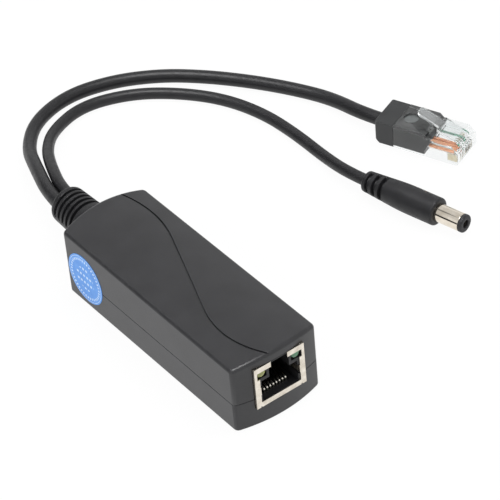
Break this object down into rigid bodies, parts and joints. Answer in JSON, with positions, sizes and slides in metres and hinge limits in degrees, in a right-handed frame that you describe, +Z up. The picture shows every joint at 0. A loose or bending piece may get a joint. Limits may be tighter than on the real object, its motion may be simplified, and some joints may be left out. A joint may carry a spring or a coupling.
{
  "type": "power over ethernet splitter",
  "caption": "Inline power-over-Ethernet splitter: black housing with a shielded network jack in its bowed end, ribbed boot, clear network plug and round power plug on short cords.",
  "frame": {"origin": "centre of the housing's base, midway between the apexes of its two bowed ends", "axes": "+Z up, +Y from the jack end to the cord end, +X across the width"},
  "size_m": [0.1274, 0.1535, 0.0233],
  "materials": {
    "housing_black": "fine moulded texture, satin black",
    "boot_black": "soft black vinyl",
    "cord_black": "smooth satin black vinyl",
    "block_black": "satin black moulding",
    "clear_plastic": "clear polished moulding",
    "insert_black": "matt black moulding",
    "shield_metal": "tinned sheet, softly bright",
    "gold_contact": "gold plated",
    "nickel_metal": "nickel plated, turned",
    "pin_metal": "tinned wire",
    "board_green": "green solder mask",
    "chip_black": "matt moulded package",
    "ferrite_grey": "matt sintered",
    "tape_yellow": "yellow wrapping tape",
    "bobbin_tan": "dark moulded bobbin",
    "copper_wire": "enamelled copper",
    "can_sleeve": "dark shrink sleeve",
    "coupler_white": "white moulded package",
    "ceramic_tan": "sintered chip part",
    "lamp_yellow_green": "tinted lens, unlit",
    "lamp_green": "tinted lens, unlit",
    "wire_orange": "orange wire insulation",
    "wire_green": "green wire insulation",
    "wire_red": "red wire insulation",
    "wire_black": "black wire insulation",
    "seal_blue": "pale blue printed seal"
  },
  "bodies": {
    "root": {"upper_cover": "housing_black", "lower_cover": "housing_black", "circuit_board": "board_green", "jack_shield": "shield_metal", "jack_insert": "insert_black", "jack_contacts": "gold_contact", "left_indicator_lamp": "lamp_yellow_green", "right_indicator_lamp": "lamp_green", "lamp_leads": "pin_metal", "data_transformer": "chip_black", "data_transformer_pins": "pin_metal", "bridge_rectifiers": "chip_black", "transformer_cores": "ferrite_grey", "transformer_winding": "tape_yellow", "transformer_bobbin": "bobbin_tan", "transformer_pins": "pin_metal", "power_controller": "chip_black", "power_controller_pins": "pin_metal", "switching_transistor": "chip_black", "input_capacitor": "can_sleeve", "output_capacitors": "can_sleeve", "inductor_drum": "ferrite_grey", "inductor_coil": "copper_wire", "output_diode": "chip_black", "feedback_coupler": "coupler_white", "ceramic_capacitors": "ceramic_tan", "chip_resistors": "chip_black", "rear_boot": "boot_black", "ethernet_cord": "cord_black", "dc_cord": "cord_black", "orange_data_leads": "wire_orange", "green_data_leads": "wire_green", "positive_power_lead": "wire_red", "negative_power_lead": "wire_black", "network_plug_body": "clear_plastic", "network_plug_block": "block_black", "orange_plug_wires": "wire_orange", "green_plug_wires": "wire_green", "plug_blades": "gold_contact", "power_plug_barrel": "nickel_metal", "power_plug_insulator": "chip_black", "power_plug_centre": "gold_contact", "power_plug_grip": "boot_black", "seal_disc": "seal_blue"}
  },
  "joints": []
}
